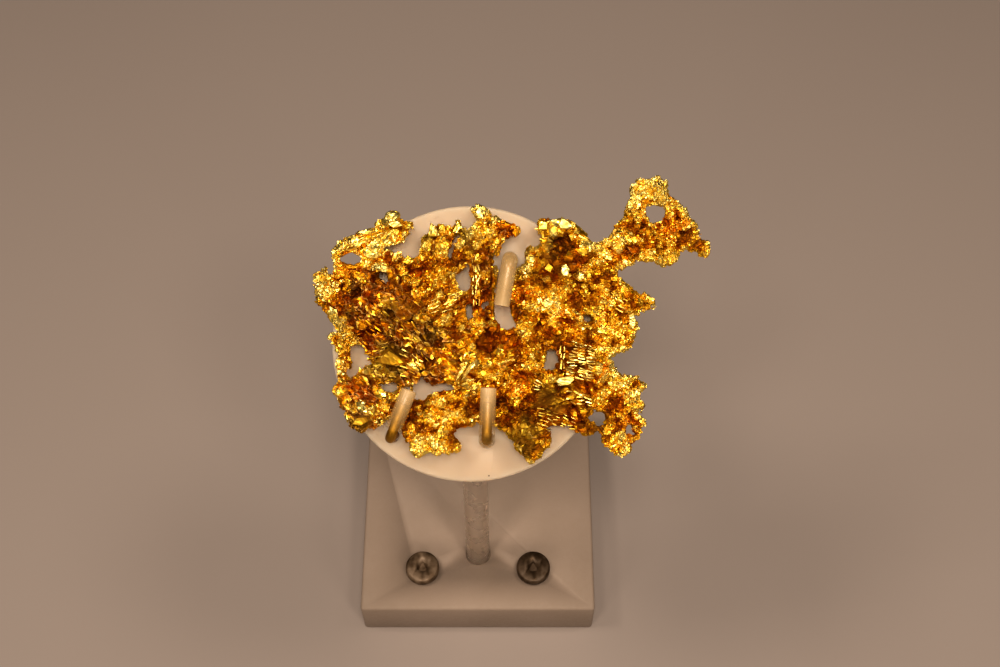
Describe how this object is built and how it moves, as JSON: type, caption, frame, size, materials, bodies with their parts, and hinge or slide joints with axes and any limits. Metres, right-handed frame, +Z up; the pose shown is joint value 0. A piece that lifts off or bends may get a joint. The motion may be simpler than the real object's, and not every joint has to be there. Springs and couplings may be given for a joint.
{
  "type": "gold specimen on a display stand",
  "caption": "Crystallised native gold, spongy and leafy, held by sleeved wire hooks before a frosted round disc on a post and block.",
  "frame": {"origin": "centre of the block's underside", "axes": "+Z up; -Y is the front, which the disc leans back to face; +X to the viewer's right"},
  "size_m": [0.0813, 0.0741, 0.1602],
  "materials": {
    "native_gold": "native gold, crystalline",
    "frosted_acrylic": "frosted",
    "dark_brass_wire": "dark patina",
    "clear_vinyl": "translucent",
    "clear_acrylic": "clear",
    "taupe_paint": "matte paint",
    "black_screw": "black oxide"
  },
  "bodies": {
    "root": {"gold": "native_gold", "disc": "frosted_acrylic", "wire_upper": "dark_brass_wire", "wire_lower_left": "dark_brass_wire", "wire_lower_right": "dark_brass_wire", "sleeve_upper": "clear_vinyl", "sleeve_lower_left": "clear_vinyl", "sleeve_lower_right": "clear_vinyl", "post": "clear_acrylic", "block": "taupe_paint", "screw_left": "black_screw", "screw_right": "black_screw"}
  },
  "joints": []
}
